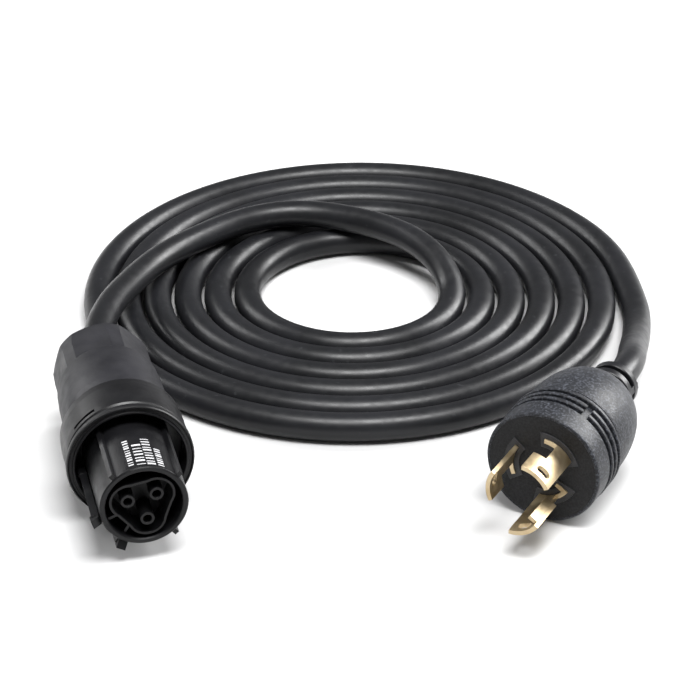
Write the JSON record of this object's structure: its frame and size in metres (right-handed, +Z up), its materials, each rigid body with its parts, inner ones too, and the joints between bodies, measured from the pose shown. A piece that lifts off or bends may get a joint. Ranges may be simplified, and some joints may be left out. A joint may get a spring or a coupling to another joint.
{
  "type": "shore power cord",
  "caption": "Coiled three-core power cord with a moulded curved-blade locking plug on one end and a round female connector on the other.",
  "frame": {"origin": "on the plane the cord set lies on, under the middle of the box round its two end fittings, the connector and the plug", "axes": "+Z up from that plane, +X from the connector towards the plug, +Y from the fittings towards the coil"},
  "size_m": [0.216, 0.2798, 0.0432],
  "materials": {
    "jacket": "smooth semi-gloss extruded jacket",
    "connector_shell": "satin moulded nylon",
    "nut": "satin moulded nylon",
    "carrier": "satin moulded nylon",
    "cage": "moulded grey nylon",
    "seal": "soft moulded rubber",
    "plug_moulding": "fine speckled moulding",
    "plug_front": "fine moulded face",
    "inner_mould": "plain moulding",
    "boot": "satin flexible moulding",
    "blades": "blanked brass, light tarnish",
    "contacts": "turned brass",
    "copper": "bare stranded copper",
    "steel": "plated",
    "core_black": "smooth core insulation",
    "core_white": "smooth core insulation",
    "core_green": "smooth core insulation"
  },
  "bodies": {
    "cord_set": {"cord_coil": "jacket", "cord_lead_connector": "jacket", "cord_lead_plug": "jacket", "core_line": "core_black", "core_neutral": "core_white", "core_ground": "core_green", "conductor_ends": "copper", "nose_shell": "connector_shell", "front_collar": "connector_shell", "connector_body": "connector_shell", "housing_seal": "seal", "contact_carrier": "carrier", "contact_line": "contacts", "contact_neutral": "contacts", "contact_ground": "contacts", "terminal_screws": "steel", "latch_pin": "steel", "plug_body": "plug_moulding", "plug_face": "plug_front", "inner_block": "inner_mould", "cord_boot": "boot", "blade_line": "blades", "blade_neutral": "blades", "blade_ground": "blades", "crimp_barrels": "contacts"},
    "latch": {"release_latch": "connector_shell"},
    "clamp": {"clamp_cage": "cage", "gland_seal": "seal"},
    "nut": {"gland_nut": "nut"}
  },
  "joints": [
    {"name": "latch_release", "type": "hinge", "parent": "cord_set", "child": "latch", "pos_m": [-0.08454, -0.01619, 0.01106], "axis": [0.6261, 0.1454, -0.766], "range_deg": [0, 5], "stiffness_Nm_per_rad": 0.3},
    {"name": "clamp_travel", "type": "slide", "parent": "cord_set", "child": "clamp", "axis": [-0.2261, 0.9741, 0], "range_m": [0, 0.006]},
    {"name": "gland_nut_turn", "type": "hinge", "parent": "clamp", "child": "nut", "pos_m": [-0.0647, -0.04608, 0.0216], "axis": [-0.2261, 0.9741, 0], "range_deg": [0, 1080]}
  ],
  "couplings": [
    {"joint": "clamp_travel", "follows": "gland_nut_turn", "m_per_rad": 0.00031831}
  ]
}
